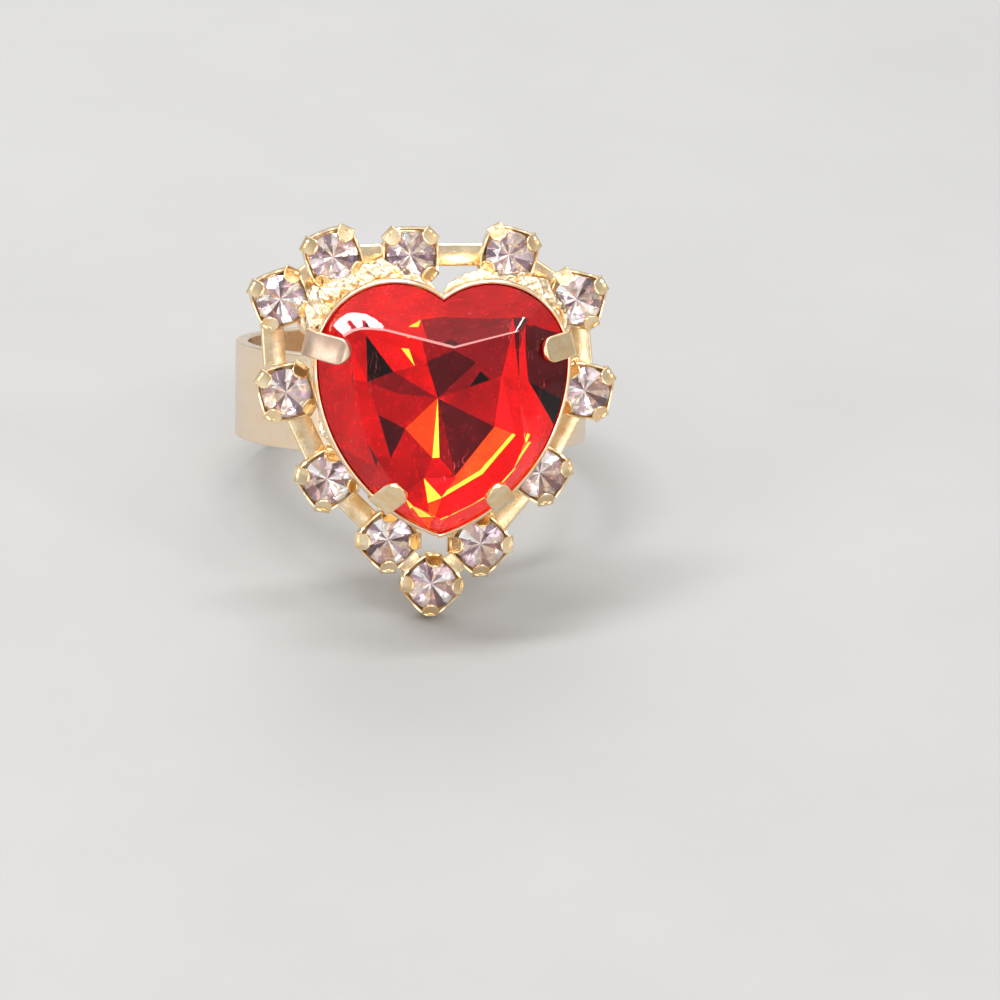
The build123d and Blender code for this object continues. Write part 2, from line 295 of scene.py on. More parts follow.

# A heart claw at least this thick is the worn one, rougher and in a darker gold that paints shade on
# it. Every claw clears its stone by this much.
BULKY_CLAW = 0.4
CLAW_CLEARANCE = 0.02

# Cups clockwise from the upper left: side, share of the half outline, stand-off in cup
# diameters, and the roll of the strip to the next cup in degrees. The tip cup hangs from its
# neighbours.
CUPS = np.array([
    [-1, 0.340, 0.36, 10],
    [-1, 0.232, 0.19, 8],
    [-1, 0.095, -0.01, 12],
    [1, 0.173, 0.01, 14],
    [1, 0.324, 0.09, 16],
    [1, 0.506, 0.02, 22],
    [1, 0.716, -0.13, 18],
    [1, 0.919, 0.14, 6],
    [1, 1.0, 0.0, 6],
    [-1, 0.914, 0.08, 12],
    [-1, 0.723, -0.02, 4],
    [-1, 0.510, 0.05, 8],
])
TIP_CUP = 8

# How far the tip cup was pulled over and up when it was soldered, in millimetres
TIP_SHIFT = np.array([-0.12, 0.11])

# Sideways shift of a strip that was soldered off its cups' middle line, and how far a strip runs
# into each cup's wall, in millimetres
STRIP_SHIFT = {11: -0.45}
STRIP_OVERLAP = 0.03

# Rise of a strip's middle over its sides, in millimetres
STRIP_ARCH = 0.06

# Turn of each round stone in its cup, in degrees
STONE_TURNS = np.array([8, 31, 2, 22, 14, 37, 5, 27, 18, 40, 11, 33])

# Heights and radii that follow
BAND_OUTER = BORE_RADIUS + BAND_THICKNESS
SETTING_BASE = BAND_OUTER + PAD_RISE
GIRDLE_LOW = SETTING_BASE + SETTING_FLOOR + CULET_ROOM + HEART_PAVILION_DEPTH
GIRDLE_TOP = GIRDLE_LOW + HEART_GIRDLE_HEIGHT
HEART_TABLE = GIRDLE_TOP + HEART_CROWN_HEIGHT
STONE_RADIUS = ROUND_STONE_SHARE * HEART_WIDTH / 2
CUP_OUTER = STONE_RADIUS + PIECE_GAP + CUP_WALL
CLAW_OUTER = CUP_OUTER + CUP_CLAW_PROUD
CUP_BASE = SETTING_BASE + CUP_ABOVE_SETTING_BASE
ROUND_GIRDLE_LOW = CUP_FLOOR + PIECE_GAP + ROUND_PAVILION_DEPTH
ROUND_GIRDLE_TOP = ROUND_GIRDLE_LOW + ROUND_GIRDLE_HEIGHT
ROUND_TABLE = ROUND_GIRDLE_TOP + ROUND_CROWN_HEIGHT

# The heart's outline: on each side a lobe arc that runs into a long side arc
LOBE_RADIUS = HEART_WIDTH / 2 / (1 + LOBE_SPREAD)
LOBE_X = HEART_WIDTH / 2 - LOBE_RADIUS
LOBE_Y = HEART_HEIGHT / 2 - LOBE_RADIUS
SIDE_DROP = HEART_HEIGHT / 2 + LOBE_Y
SIDE_RADIUS = (SIDE_DROP**2 + (HEART_WIDTH / 2) ** 2) / HEART_WIDTH
SIDE_X = HEART_WIDTH / 2 - SIDE_RADIUS
LOBE_SWEEP = math.atan2(math.sqrt(LOBE_RADIUS**2 - LOBE_X**2), -LOBE_X)
SIDE_SWEEP = math.atan2(SIDE_DROP, -SIDE_X)
LOBE_LENGTH = LOBE_RADIUS * LOBE_SWEEP
HALF_LENGTH = LOBE_LENGTH + SIDE_RADIUS * SIDE_SWEEP

# The ring's own frame, from the finger bore that the record states
bore = next(m for m in frame["record"]["mounts"] if m["name"] == "finger_bore")
ACROSS = np.array([1.0, 0.0, 0.0])
UP = np.array(bore["axis"], float)
UP /= np.linalg.norm(UP)
OUT = np.cross(ACROSS, UP)
MIDDLE = np.array(bore["pos_m"], float) + BAND_BELOW_HEART * MM * UP


def to_row(points):
    """Ring frame in millimetres to row frame in metres: middle + x across + y up + z out."""
    return MIDDLE + MM * (np.asarray(points, float) @ np.stack([ACROSS, UP, OUT]))


# Outline of the heart


def outline(side, along, out=0.0):
    """Points at shares of the half outline, grown by out, and their outward angles.

    A share up to the lobe's length lies on the lobe's arc, centre (lobe x, lobe y), and the rest
    on the long side's arc, centre (side x, lobe y)."""
    side, along, out = np.broadcast_arrays(side, along, out)
    run = along * HALF_LENGTH
    on_lobe = run <= LOBE_LENGTH
    angle = np.where(on_lobe, LOBE_SWEEP - run / LOBE_RADIUS, (LOBE_LENGTH - run) / SIDE_RADIUS)
    radius = np.where(on_lobe, LOBE_RADIUS, SIDE_RADIUS) + out
    x = np.where(on_lobe, LOBE_X, SIDE_X) + radius * np.cos(angle)
    y = LOBE_Y + radius * np.sin(angle)
    return side * x, y, np.where(side < 0, np.pi - angle, angle)


def heart_loop(out, lobe_steps=40, side_steps=36):
    """The whole outline grown by each value of out, clockwise from the notch: (out, point, xy).

    Each grown arc starts and ends where it meets x = 0, so the loops stay closed at the notch
    and the tip."""
    out = np.atleast_1d(out)[:, None]
    lobe, long_side = LOBE_RADIUS + out, SIDE_RADIUS + out
    notch = np.arctan2(np.sqrt(lobe**2 - LOBE_X**2), -LOBE_X)
    tip = -np.arctan2(np.sqrt(long_side**2 - SIDE_X**2), -SIDE_X)
    a = notch * (1 - np.linspace(0, 1, lobe_steps, endpoint=False))[None, :]
    b = tip * np.linspace(0, 1, side_steps + 1)[None, :]
    x = np.concatenate([LOBE_X + lobe * np.cos(a), SIDE_X + long_side * np.cos(b)], 1)
    y = np.concatenate([LOBE_Y + lobe * np.sin(a), LOBE_Y + long_side * np.sin(b)], 1)
    x = np.concatenate([x, -x[:, -2:0:-1]], 1)
    y = np.concatenate([y, y[:, -2:0:-1]], 1)
    return np.stack([x, y], -1)


# Shells and pieces


def grid_faces(rows, columns):
    """Quads of a grid of points numbered row by row, closed round its columns."""
    i = np.arange(rows - 1)[:, None] * columns
    j = np.arange(columns)[None, :]
    after = (j + 1) % columns
    return np.stack([i + j, i + after, i + columns + after, i + columns + j], -1).reshape(-1, 4)


def tube(points, look=0, smooth=True):
    """A closed shell from a grid (row, column, xyz) that is closed round its columns, with a flat
    face over its first and last row. A shell is its points, its faces, and each face's material,
    smoothness and tone."""
    rows, columns = points.shape[:2]
    faces = grid_faces(rows, columns).tolist()
    faces.append(list(range(columns))[::-1])
    faces.append(list(range((rows - 1) * columns, rows * columns)))
    n = len(faces)
    return points.reshape(-1, 3), faces, [look] * n, [smooth] * n, [PLAIN] * n


def place(shell, matrix, shift):
    """A shell turned by a matrix and moved by shift."""
    return (shell[0] @ np.asarray(matrix).T + np.asarray(shift), *shell[1:])


def turn_about_z(degrees):
    """Matrix that turns about z."""
    c, s = math.cos(math.radians(degrees)), math.sin(math.radians(degrees))
    return np.array([[c, -s, 0], [s, c, 0], [0, 0, 1]])


def add_piece(name, shells, looks, nodes, sharp=None):
    """Joins closed shells into one mesh object in the row frame, which stands for the nodes."""
    start = np.cumsum([0] + [len(s[0]) for s in shells])
    points = to_row(np.concatenate([s[0] for s in shells]))
    faces = [[v + int(k) for v in f] for s, k in zip(shells, start) for f in s[1]]
    mesh = bpy.data.meshes.new(name)
    mesh.from_pydata(points.tolist(), [], faces)
    for look in looks:
        mesh.materials.append(look)
    mesh.polygons.foreach_set("material_index", np.concatenate([s[2] for s in shells]))
    mesh.polygons.foreach_set("use_smooth", np.concatenate([s[3] for s in shells]))
    tones = np.concatenate([np.asarray(s[4], float) for s in shells])
    tone = mesh.attributes.new("tone", "FLOAT_COLOR", "FACE")
    tone.data.foreach_set("color", tones.ravel())
    work = bmesh.new()
    work.from_mesh(mesh)
    bmesh.ops.remove_doubles(work, verts=work.verts, dist=MERGE_WITHIN)
    bmesh.ops.recalc_face_normals(work, faces=work.faces)
    work.to_mesh(mesh)
    work.free()
    if sharp is not None:
        mesh.set_sharp_from_angle(angle=math.radians(sharp))
    piece = bpy.data.objects.new(name, mesh)
    bpy.context.scene.collection.objects.link(piece)
    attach(piece, "root")
    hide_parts(*nodes)
    return piece


def rounded_section(width, thickness, radius, steps=5, support=0.05):
    """Closed section: four corner arcs, with a support point beside each end of each arc that
    keeps the flats flat in shading. Columns run counter-clockwise: (point, across and outward)."""
    turn = np.radians(np.arange(4)[:, None] * 90 + np.linspace(0, 90, steps)[None, :])
    x = np.array([[1], [-1], [-1], [1]]) * (width / 2 - radius) + radius * np.cos(turn)
    y = np.array([[1], [1], [-1], [-1]]) * (thickness / 2 - radius) + radius * np.sin(turn)
    first, last = turn[:, :1], turn[:, -1:]
    x = np.concatenate([x[:, :1] + support * np.sin(first), x, x[:, -1:] - support * np.sin(last)], 1)
    y = np.concatenate([y[:, :1] - support * np.cos(first), y, y[:, -1:] + support * np.cos(last)], 1)
    return np.stack([x.ravel(), y.ravel()], -1)


def bent_path(corners, radius, steps=7):
    """A path through 2-D corners with each inner corner replaced by a quadratic Bezier that
    starts and ends at distance radius from the corner."""
    corners = np.asarray(corners, float)
    t = np.linspace(0, 1, steps)[:, None]
    parts = [corners[:1]]
    for a, b, c in zip(corners[:-2], corners[1:-1], corners[2:]):
        start = b + (a - b) / np.linalg.norm(a - b) * radius
        end = b + (c - b) / np.linalg.norm(c - b) * radius
        parts.append((1 - t) ** 2 * start + 2 * t * (1 - t) * b + t**2 * end)
    parts.append(corners[-1:])
    return np.concatenate(parts)


def resample(path, fractions):
    """Points at fractions of a 2-D path's length, and the unit tangents there."""
    step = np.linalg.norm(np.diff(path, axis=0), axis=1)
    run = np.concatenate([[0], np.cumsum(step)]) / step.sum()
    points = np.stack([np.interp(fractions, run, path[:, k]) for k in range(2)], -1)
    tangent = np.gradient(points, fractions, axis=0)
    return points, tangent / np.linalg.norm(tangent, axis=1, keepdims=True), step.sum()


def claw_shell(corners, width, thickness, bend, edge, waist, arch, look=0):
    """A flat tab carried along a bent path in the plane of x (outward) and z.

    The section is a rounded rectangle, width along y and thickness across the path. Towards the
    tip the half width follows a half circle, sqrt(r^2 - (r - d)^2) at distance d from the tip,
    and in the last half thickness the thickness follows one too. The face is arched by
    arch (1 - (2 y / width)^2)."""
    path = bent_path(corners, bend)
    body = np.linspace(0, 1, 22)[:-1]
    length = np.linalg.norm(np.diff(path, axis=0), axis=1).sum()
    cap = width / 2 / length
    end = 1 - cap * np.cos(np.linspace(0, np.pi / 2, 12))
    fractions = np.concatenate([body[body < 1 - cap], end[:-1], [1 - 0.002 * cap]])
    points, tangent, length = resample(path, fractions)
    normal = np.stack([tangent[:, 1], -tangent[:, 0]], -1)
    left = (1 - fractions) * length
    r = width / 2
    half = np.where(left < r, np.sqrt(np.maximum(r**2 - (r - left) ** 2, 0)), r) / r
    half = half * (waist + (1 - waist) * np.clip(fractions / (1 - cap), 0, 1))
    e = thickness / 2
    thick = np.where(left < e, np.sqrt(np.maximum(e**2 - (e - left) ** 2, 0.05 * e**2)), e) / e
    section = rounded_section(width, thickness, edge, 4, 0.03)
    across = section[None, :, 0] * np.maximum(half, 0.12)[:, None]
    bow = arch * (1 - (2 * section[None, :, 0] / width) ** 2) * half[:, None] ** 2
    outward = section[None, :, 1] * thick[:, None] - bow
    x = points[:, None, 0] + normal[:, None, 0] * outward
    z = points[:, None, 1] + normal[:, None, 1] * outward
    return tube(np.stack([x, across, z], -1), look)


# Materials


def set_values(made, **values):
    """Sets a node's properties and sockets, named with underscores for spaces. A socket takes a
    value, or a link from another node's socket."""
    for key, value in values.items():
        if hasattr(made, key):
            setattr(made, key, value)
            continue
        socket = made.inputs[key.replace("_", " ")]
        if isinstance(value, bpy.types.NodeSocket):
            made.id_data.links.new(value, socket)
        else:
            socket.default_value = value
    return made


def new_look(name):
    """A node material with its tree and its Principled shader."""
    look = bpy.data.materials.new(name)
    look.use_nodes = True
    return look, look.node_tree, look.node_tree.nodes["Principled BSDF"]


def node(tree, kind, **values):
    """A new node with its values and links."""
    return set_values(tree.nodes.new(kind), **values)


def noise(tree, coordinates, scale, detail=3.0, roughness=0.5):
    """Noise over coordinates."""
    grain = {"Scale": scale, "Detail": detail, "Roughness": roughness}
    return node(tree, "ShaderNodeTexNoise", Vector=coordinates, **grain).outputs["Fac"]


def ramp(tree, value, stops):
    """Colour ramp over a value: stops of (place, colour)."""
    made = node(tree, "ShaderNodeValToRGB", Fac=value)
    elements = made.color_ramp.elements
    while len(elements) < len(stops):
        elements.new(0.5)
    for element, (where, colour) in zip(elements, stops):
        element.position = where
        element.color = (*colour, 1.0)
    return made.outputs["Color"]


def span(tree, value, low, high, to_low, to_high):
    """Map Range."""
    ends = {"From_Min": low, "From_Max": high, "To_Min": to_low, "To_Max": to_high}
    return node(tree, "ShaderNodeMapRange", clamp=True, Value=value, **ends).outputs["Result"]


def ring_coordinates(tree, stretch=(1.0, 1.0, 1.0)):
    """Object coordinates turned into the ring's own axes and stretched."""
    axes = Matrix((ACROSS, UP, OUT))
    place_in = node(tree, "ShaderNodeTexCoord").outputs["Object"]
    move = {"Rotation": axes.to_euler(), "Location": -(axes @ Vector(MIDDLE))}
    turned = node(tree, "ShaderNodeMapping", Vector=place_in, **move).outputs["Vector"]
    return node(tree, "ShaderNodeMapping", Vector=turned, Scale=stretch).outputs["Vector"]


def dent(tree, height, strength, distance):
    """Normals bent by a height."""
    values = {"Height": height, "Strength": strength, "Distance": distance}
    return node(tree, "ShaderNodeBump", **values).outputs["Normal"]


def gold(name, light, deep, rough, brush=(1.0, 1.0, 1.0), depth=0.2):
    """Pale gold plate: cloudy tone between light and deep, smudged roughness, and fine lines of
    some depth, stretched by the brush."""
    look, tree, shader = new_look(name)
    plain = ring_coordinates(tree)
    cloud = noise(tree, plain, 1100.0, 4.0, 0.55)
    smudge = noise(tree, plain, 2600.0, 5.0, 0.6)
    lines = noise(tree, ring_coordinates(tree, brush), 9000.0, 3.0, 0.6)
    set_values(
        shader,
        Metallic=1.0,
        Base_Color=ramp(tree, cloud, [(0.35, deep), (0.62, light)]),
        Roughness=span(tree, smudge, 0.3, 0.7, *rough),
        Normal=dent(tree, lines, depth, 0.00002),
    )
    return look


def glass(name, tint, density, ior, scratch=0.1, rough=0.0, clear=1.0, face=(1.0, 1.0, 1.0)):
    """Glass with a body that takes up light and a trace of surface scratches. clear is how far
    light goes through it, and face is its surface's colour."""
    look, tree, shader = new_look(name)
    lines = noise(tree, ring_coordinates(tree, (1.0, 0.15, 1.0)), 4200.0, 4.0, 0.7)
    set_values(
        shader,
        Base_Color=(*face, 1.0),
        Transmission_Weight=clear,
        IOR=ior,
        Roughness=rough,
        Normal=dent(tree, lines, scratch, 0.000004),
    )
    body = node(tree, "ShaderNodeVolumeAbsorption", Color=(*tint, 1.0), Density=density)
    set_values(tree.nodes["Material Output"], Volume=body.outputs["Volume"])
    return look


def scratches(tree, coordinates, scale, width, share):
    """Short fine strokes: bands of a wave bent by noise, kept where a slower noise is high."""
    bends = {"Scale": scale, "Distortion": 16.0, "Detail": 2.0}
    wave = node(tree, "ShaderNodeTexWave", Vector=coordinates, **bends).outputs["Fac"]
    line = span(tree, wave, 1.0 - width, 1.0, 0.0, 1.0)
    patch = span(tree, noise(tree, coordinates, scale * 0.9, 2.0), share, share + 0.06, 0.0, 0.6)
    both = node(tree, "ShaderNodeMath", operation="MULTIPLY")
    tree.links.new(line, both.inputs[0])
    tree.links.new(patch, both.inputs[1])
    return both.outputs["Value"]


def mix(tree, share, one, other, blend="MIX"):
    """Colour mix; a colour may be a socket or three numbers."""
    made = node(tree, "ShaderNodeMix", data_type="RGBA", blend_type=blend)
    for socket, value in zip((0, 6, 7), (share, one, other)):
        if isinstance(value, bpy.types.NodeSocket):
            tree.links.new(value, made.inputs[socket])
        elif socket:
            made.inputs[socket].default_value = (*value, 1.0)
        else:
            made.inputs[socket].default_value = value
    return made.outputs[2]


def foil(name, metal, deep, rough, stroke=None):
    """Bright backing of a stone: each cut's painted reflection tone, clouded towards deep, a little
    wavy, with pale strokes where they are asked for, and a painted glow: the cut's tone sent out as
    emission by its share."""
    look, tree, shader = new_look(name)
    plain = ring_coordinates(tree)
    tone = node(tree, "ShaderNodeAttribute", attribute_type="GEOMETRY", attribute_name="tone")
    cloud = noise(tree, plain, 900.0, 4.0, 0.6)
    shade = ramp(tree, cloud, [(0.34, deep), (0.58, (1.0, 1.0, 1.0))])
    colour = mix(tree, 1.0, tone.outputs["Color"], shade, "MULTIPLY")
    if stroke:
        lines = scratches(tree, plain, 1100.0, 0.07, 0.62)
        colour = mix(tree, lines, colour, stroke)
    # Painted glow: the cut's painted tone scaled by its share and sent out as emission
    light = node(tree, "ShaderNodeVectorMath", operation="SCALE", Scale=tone.outputs["Alpha"])
    tree.links.new(colour, light.inputs[0])
    smudge = noise(tree, plain, 2400.0, 4.0, 0.6)
    set_values(
        shader,
        Metallic=metal,
        Specular_IOR_Level=0.0,
        Base_Color=colour,
        Emission_Color=light.outputs["Vector"],
        Emission_Strength=1.0,
        Roughness=span(tree, smudge, 0.35, 0.7, *rough),
        Normal=dent(tree, smudge, 0.2, 0.00001),
    )
    return look


# Tones of the gold plate
CHAMPAGNE = (1.00, 0.83, 0.56)
DEEP_GOLD = (0.92, 0.63, 0.32)
ROSE_GOLD = (0.95, 0.77, 0.58)

# The red glass: its tint, how fast it darkens with depth, and its bend of light
RED_TINT = (1.0, 0.36, 0.40)
RED_DENSITY = 70.0
RED_IOR = 1.4

claw_gold = gold("claw_gold", CHAMPAGNE, DEEP_GOLD, (0.06, 0.20), depth=0.25)
band_gold = gold("band_gold", ROSE_GOLD, (0.93, 0.74, 0.53), (0.10, 0.22), (6.0, 0.6, 6.0), 0.45)
strip_gold = gold("strip_gold", (0.97, 0.80, 0.56), (0.86, 0.62, 0.36), (0.16, 0.30), depth=0.4)
rim_gold = gold("rim_gold", ROSE_GOLD, DEEP_GOLD, (0.06, 0.18))
solder_gold = gold("solder_gold", (0.95, 0.84, 0.64), (0.82, 0.63, 0.42), (0.10, 0.26), depth=0.5)
# The worn claw's gold: rougher, and darker in colour to paint shade on it
worn_shaded_gold = gold("worn_shaded_gold", (0.71, 0.54, 0.43), (0.57, 0.41, 0.30), (0.26, 0.42), depth=0.5)
red_glass = glass("red_glass", RED_TINT, RED_DENSITY, RED_IOR, scratch=0.035)
# The foils carry the painted reflection tones and painted glow of their stones' cuts
red_foil = foil("red_foil", 0.6, (0.76, 0.66, 0.68), (0.18, 0.32), (1.0, 0.22, 0.22))
clear_glass = glass("clear_glass", (1.0, 0.97, 0.98), 20.0, 1.55)
clear_foil = foil("clear_foil", 0.85, (0.90, 0.88, 0.88), (0.06, 0.20))
# The worn table edge: rough and partly clear, with a pale pink face colour that paints its highlight
worn_highlit_values = {"rough": 0.35, "clear": 0.4, "face": (0.95, 0.40, 0.38)}
worn_highlit_edge = glass("worn_highlit_edge", RED_TINT, RED_DENSITY, RED_IOR, **worn_highlit_values)

# Band


def band_shells():
    """The band: its rounded section carried round the finger from one end of the split to the
    other. Near an end, at the distance d that the solid's flat end plan has there, the half
    width is that plan's rounded corner, and the thickness closes over the edge radius."""
    radius = BORE_RADIUS + BAND_THICKNESS / 2
    reach = 3 * BAND_END_RADIUS
    near = reach * (1 - np.cos(np.linspace(0, np.pi / 2, 26)))
    angles = np.pi - np.arcsin((BAND_SPLIT / 2 + near) / radius)
    body = np.linspace(angles[-1], -angles[-1], 150)[1:-1]
    angle = np.concatenate([angles, body, -angles[::-1]])
    d = np.where(np.abs(angle) > np.pi / 2, np.abs(radius * np.sin(angle)) - BAND_SPLIT / 2, reach)
    d = np.clip(d, 0, reach)
    r = BAND_END_RADIUS
    corner = np.sqrt(np.maximum(r**2 - (r - np.minimum(d, r)) ** 2, 0))
    half = np.minimum(BAND_WIDTH / 2, BAND_WIDTH / 2 + PIECE_GAP - r + corner)
    e = BAND_EDGE_RADIUS
    edge = np.sqrt(np.maximum(e**2 - (e - np.minimum(d, e)) ** 2, 0))
    thick = (BAND_THICKNESS / 2 - e + edge) / (BAND_THICKNESS / 2)
    section = rounded_section(BAND_WIDTH, BAND_THICKNESS, e, 6, 0.06)
    across = section[None, :, 0] - np.sign(section[None, :, 0]) * (BAND_WIDTH / 2 - half)[:, None]
    rise = radius + section[None, :, 1] * thick[:, None]
    x = rise * np.sin(angle)[:, None]
    z = rise * np.cos(angle)[:, None]
    return [tube(np.stack([x, across - BAND_BELOW_HEART, z], -1))]


def pad_shells():
    """Solder pad: a rounded rectangle that rises from the band to the setting's floor, with a
    hollow flare at its foot where the solder ran out: outwards by f (1 - t)^3 at height t."""
    t = np.concatenate([[0.0], np.linspace(0.0, 1.0, 9)])[:, None]
    plan = rounded_section(PAD_LENGTH, PAD_WIDTH, PAD_CORNER_RADIUS, 8, 0.1)
    size = np.linalg.norm(plan, axis=1)
    flare = 0.32 * (1 - t) ** 3
    x = plan[None, :, 0] * (1 + flare / size)
    y = plan[None, :, 1] * (1 + flare / size)
    foot = np.sqrt(BAND_OUTER**2 - x**2) - 0.04
    foot[0] -= 0.12
    z = foot + (SETTING_BASE + 0.02 - foot) * t
    return [tube(np.stack([x, y - BAND_BELOW_HEART, z], -1), 1)]


band_looks = [band_gold, claw_gold]
add_piece("finger_band", band_shells() + pad_shells(), band_looks, ["band"], 40)

# Heart setting


def crown_rows():
    """The stone's crown in rows, each clockwise from the notch: the flat table inside its bevel,
    the bevel's two edges, the star line and the girdle's top and foot. Each point of the girdle
    is joined by a straight run to the table point that it faces."""
    along = np.unique(np.concatenate([np.linspace(0, 1, 73), TABLE_RIGHT[:, 2], TABLE_LEFT[:, 2]]))
    side = np.concatenate([np.ones(len(along)), -np.ones(len(along) - 2)])
    share = np.concatenate([along, along[-2:0:-1]])
    gx, gy, _ = outline(side, share)
    right = [np.interp(share, TABLE_RIGHT[:, 2], TABLE_RIGHT[:, k]) for k in range(2)]
    left = [np.interp(share, TABLE_LEFT[:, 2], TABLE_LEFT[:, k]) for k in range(2)]
    tx, ty = (np.where(side > 0, a, b) for a, b in zip(right, left))
    run = np.hypot(gx - tx, gy - ty)
    worn_highlit = share < np.where(side > 0, *WORN_HIGHLIT_END)
    width = np.where(worn_highlit, np.where(side > 0, *WORN_BEVEL), KEEN_BEVEL)
    step = width / run
    mx, my = TABLE_MIDDLE
    inset = width / np.hypot(tx - mx, ty - my)
    flat = np.ones(len(share))
    star = np.where(side < 0, np.interp(share, STAR_LINE[:, 0], STAR_LINE[:, 1]), PLAIN_STAR)
    soft = np.where(side < 0, np.interp(share, STAR_LINE[:, 0], STAR_LINE[:, 2]), 0.0)
    drop = star * HEART_CROWN_HEIGHT
    drop = drop + soft * (star * run * math.tan(math.radians(STAR_SLOPE)) - drop)
    rows = [
        (tx + (mx - tx) * inset, ty + (my - ty) * inset, flat * HEART_TABLE),
        (tx, ty, HEART_TABLE - 0.25 * step * HEART_CROWN_HEIGHT),
        (tx + (gx - tx) * step, ty + (gy - ty) * step, HEART_TABLE - step * HEART_CROWN_HEIGHT),
        (tx + (gx - tx) * star, ty + (gy - ty) * star, HEART_TABLE - drop),
        (gx, gy, flat * GIRDLE_TOP),
        (gx, gy, flat * GIRDLE_LOW),
    ]
    return np.stack([np.stack(row, -1) for row in rows]), worn_highlit


def setting_shells():
    """Heart cup: the outline grown by each profile row's out at that row's height, from the
    underside up the tapered wall, over a thin rounded rim and down inside to the floor."""
    rim = PIECE_GAP + SETTING_WALL
    top = GIRDLE_TOP + 0.03
    base = rim - SETTING_TAPER
    floor = SETTING_BASE + SETTING_FLOOR
    profile = np.array([
        [base - 0.10, SETTING_BASE],
        [base - 0.03, SETTING_BASE + 0.01],
        [base, SETTING_BASE + 0.06],
        [base + 0.04, SETTING_BASE + 0.20],
        [rim - 0.08, top - 0.60],
        [rim, top - 0.40],
        [rim - 0.03, top - 0.16],
        [rim - 0.08, top - 0.05],
        [rim - 0.11, top - 0.01],
        [rim - 0.14, top],
        [PIECE_GAP + 0.05, top - 0.01],
        [PIECE_GAP + 0.01, top - 0.05],
        [PIECE_GAP, top - 0.20],
        [PIECE_GAP - SETTING_TAPER + 0.05, floor + 0.1],
        [PIECE_GAP - SETTING_TAPER, floor],
    ])
    loops = heart_loop(profile[:, 0])
    height = np.broadcast_to(profile[:, 1][:, None, None], (*loops.shape[:2], 1))
    return [tube(np.concatenate([loops, height], -1))]


def heart_claw_shells():
    """The four wide claws: each rises outside the wall and is bent in over the stone, just clear
    of the crown's highest point under it, measured along the claw's slope."""
    rows = crown_rows()[0][2:5, None]
    down = np.linspace(0, 1, 12)[None, :, None, None]
    crown = (rows[:-1] * (1 - down) + rows[1:] * down).reshape(-1, 3)
    shells = []
    for side, along, stand_off, reach, slope, thickness in HEART_CLAWS:
        x, y, angle = (float(v) for v in outline(side, along))
        slope = math.radians(slope)
        inward = (x - crown[:, 0]) * math.cos(angle) + (y - crown[:, 1]) * math.sin(angle)
        aside = (x - crown[:, 0]) * math.sin(angle) - (y - crown[:, 1]) * math.cos(angle)
        under = (np.abs(aside) < HEART_CLAW_WIDTH / 2) & (inward < reach)
        high_in = PIECE_GAP + SETTING_WALL / 2
        low_in = high_in - SETTING_TAPER * HEART_CLAW_ROOT_DEPTH / (GIRDLE_TOP - SETTING_BASE)
        lift = (crown[under, 2] - inward[under] * math.tan(slope)).max()
        lift += (CLAW_CLEARANCE + thickness / 2) / math.cos(slope)
        bend_x = high_in + thickness / 2 + stand_off
        corners = [
            (low_in + thickness / 2, GIRDLE_TOP - HEART_CLAW_ROOT_DEPTH),
            (bend_x, lift - bend_x * math.tan(slope)),
            (-reach, lift + reach * math.tan(slope)),
        ]
        # Look 3 is the worn gold whose darker colour paints shade on the bulky claw
        look, arch = (1, 0.07) if thickness < BULKY_CLAW else (3, 0.16)
        form = {"bend": 0.42, "edge": 0.10, "waist": 0.94, "arch": arch, "look": look}
        shell = claw_shell(corners, HEART_CLAW_WIDTH, thickness, **form)
        shells.append(place(shell, turn_about_z(math.degrees(angle)), (x, y, 0)))
    return shells


# Heart stone


def bridge(outer, inner, outer_points, inner_points):
    """Triangles between two rings of corners that run clockwise round the culet. Each step takes
    the next corner of the ring whose next corner comes first in angle."""

    def turns(points):
        x, y = points[:, 0] - BACK_CORNERS[0, 0], points[:, 1] - BACK_CORNERS[0, 1]
        angle = np.unwrap(np.arctan2(x, y))
        return np.append(angle, angle[0] + 2 * np.pi)

    a, b = turns(outer_points), turns(inner_points)
    i = j = 0
    faces = []
    while i < len(outer) or j < len(inner):
        take_outer = j >= len(inner) or (i < len(outer) and a[i + 1] <= b[j + 1])
        p, q = outer[i % len(outer)], inner[j % len(inner)]
        if take_outer:
            faces.append([p, outer[(i + 1) % len(outer)], q])
            i += 1
        else:
            faces.append([p, inner[(j + 1) % len(inner)], q])
            j += 1
    return faces


def rim_reflection_tone(x, y):
    """Painted reflection tone of the outer cuts by their middle: a painted dark reflection on the right
    flank, a painted orange flash by the tip, red elsewhere."""
    if -0.75 < x < 0.2 and -5.2 < y < -4.7:
        return ORANGE
    if x > 3.4 and -0.1 < y < 3.75:
        return BLACK_RED if y < 0.7 else MAROON
    if x > 0.3 and y > 3.0:
        return CRIMSON
    if x < -2.0 and y < -2.0:
        return CRIMSON
    return SCARLET


